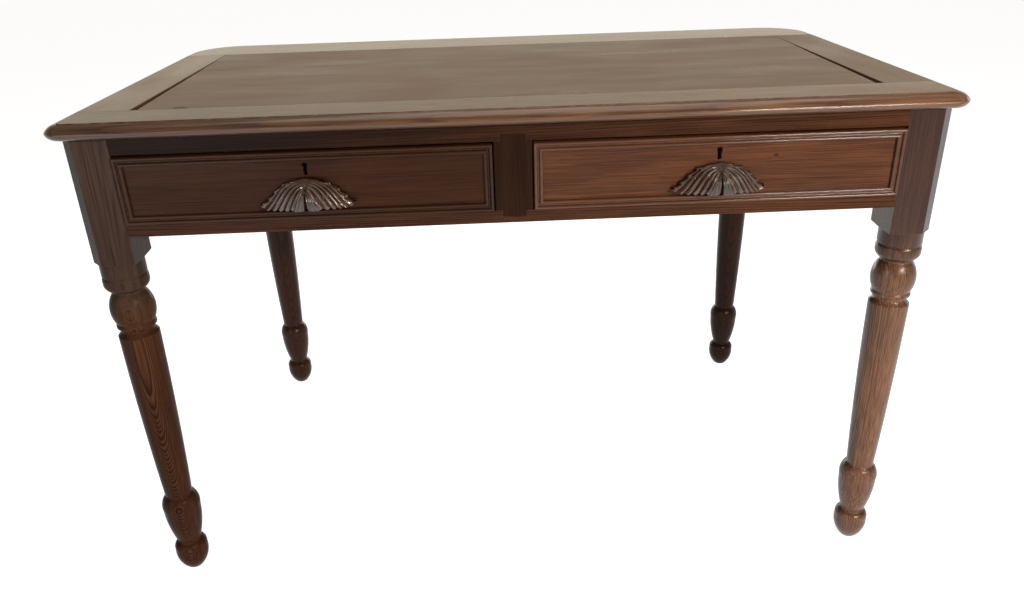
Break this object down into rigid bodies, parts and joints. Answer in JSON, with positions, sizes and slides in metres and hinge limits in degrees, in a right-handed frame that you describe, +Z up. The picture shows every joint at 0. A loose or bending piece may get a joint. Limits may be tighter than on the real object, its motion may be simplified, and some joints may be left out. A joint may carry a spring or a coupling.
{
  "type": "writing table",
  "caption": "Flat-topped writing table with side-by-side frieze drawers, moulded top edge, carved leaf pulls and turned legs.",
  "frame": {"origin": "on the floor, under the middle of the bounding box, pulls included", "axes": "+X to the sitter's right (longest extent), -Y towards the sitter, +Z up"},
  "size_m": [1.22, 0.712, 0.762],
  "materials": {
    "top_pine": "dark stain under worn gloss varnish",
    "frame_pine": "dark red-brown stain under gloss varnish",
    "drawer_pine": "dark red-brown stain under gloss varnish",
    "carved_pine": "near-black stain, polished on the ridges",
    "bare_pine": "planed, unfinished",
    "lock_brass": "dull, aged",
    "screw_steel": "dull, darkened"
  },
  "bodies": {
    "table": {"back_apron": "frame_pine", "drawer_stops": "bare_pine", "end_apron_left": "frame_pine", "end_apron_right": "frame_pine", "front_bottom_rail": "frame_pine", "front_centre_stile": "frame_pine", "front_top_rail": "frame_pine", "guide_centre": "bare_pine", "guide_left": "bare_pine", "guide_right": "bare_pine", "kicker_centre": "bare_pine", "kicker_left": "bare_pine", "kicker_right": "bare_pine", "leg_front_left": "frame_pine", "leg_front_right": "frame_pine", "leg_rear_left": "frame_pine", "leg_rear_right": "frame_pine", "runner_centre": "bare_pine", "runner_left": "bare_pine", "runner_right": "bare_pine", "top_board_front": "top_pine", "top_board_middle": "top_pine", "top_board_rear": "top_pine", "top_buttons": "bare_pine", "top_end_left": "top_pine", "top_end_right": "top_pine", "top_front_strip": "top_pine", "top_rear_strip": "top_pine", "top_screws": "screw_steel"},
    "drawer_left": {"drawer_left_back": "bare_pine", "drawer_left_bottom": "bare_pine", "drawer_left_front": "drawer_pine", "drawer_left_lock_case": "lock_brass", "drawer_left_moulding": "drawer_pine", "drawer_left_pull": "carved_pine", "drawer_left_pull_screws": "screw_steel", "drawer_left_side_left": "bare_pine", "drawer_left_side_right": "bare_pine"},
    "lock_bolt_left": {"drawer_left_lock_bolt": "lock_brass"},
    "drawer_right": {"drawer_right_back": "bare_pine", "drawer_right_bottom": "bare_pine", "drawer_right_front": "drawer_pine", "drawer_right_lock_case": "lock_brass", "drawer_right_moulding": "drawer_pine", "drawer_right_pull": "carved_pine", "drawer_right_pull_screws": "screw_steel", "drawer_right_side_left": "bare_pine", "drawer_right_side_right": "bare_pine"},
    "lock_bolt_right": {"drawer_right_lock_bolt": "lock_brass"}
  },
  "joints": [
    {"name": "drawer_left_slide", "type": "slide", "parent": "table", "child": "drawer_left", "axis": [0, -1, 0], "range_m": [0, 0.3]},
    {"name": "lock_bolt_left_slide", "type": "slide", "parent": "drawer_left", "child": "lock_bolt_left", "axis": [0, 0, 1], "range_m": [0, 0.008]},
    {"name": "drawer_right_slide", "type": "slide", "parent": "table", "child": "drawer_right", "axis": [0, -1, 0], "range_m": [0, 0.3]},
    {"name": "lock_bolt_right_slide", "type": "slide", "parent": "drawer_right", "child": "lock_bolt_right", "axis": [0, 0, 1], "range_m": [0, 0.008]}
  ]
}
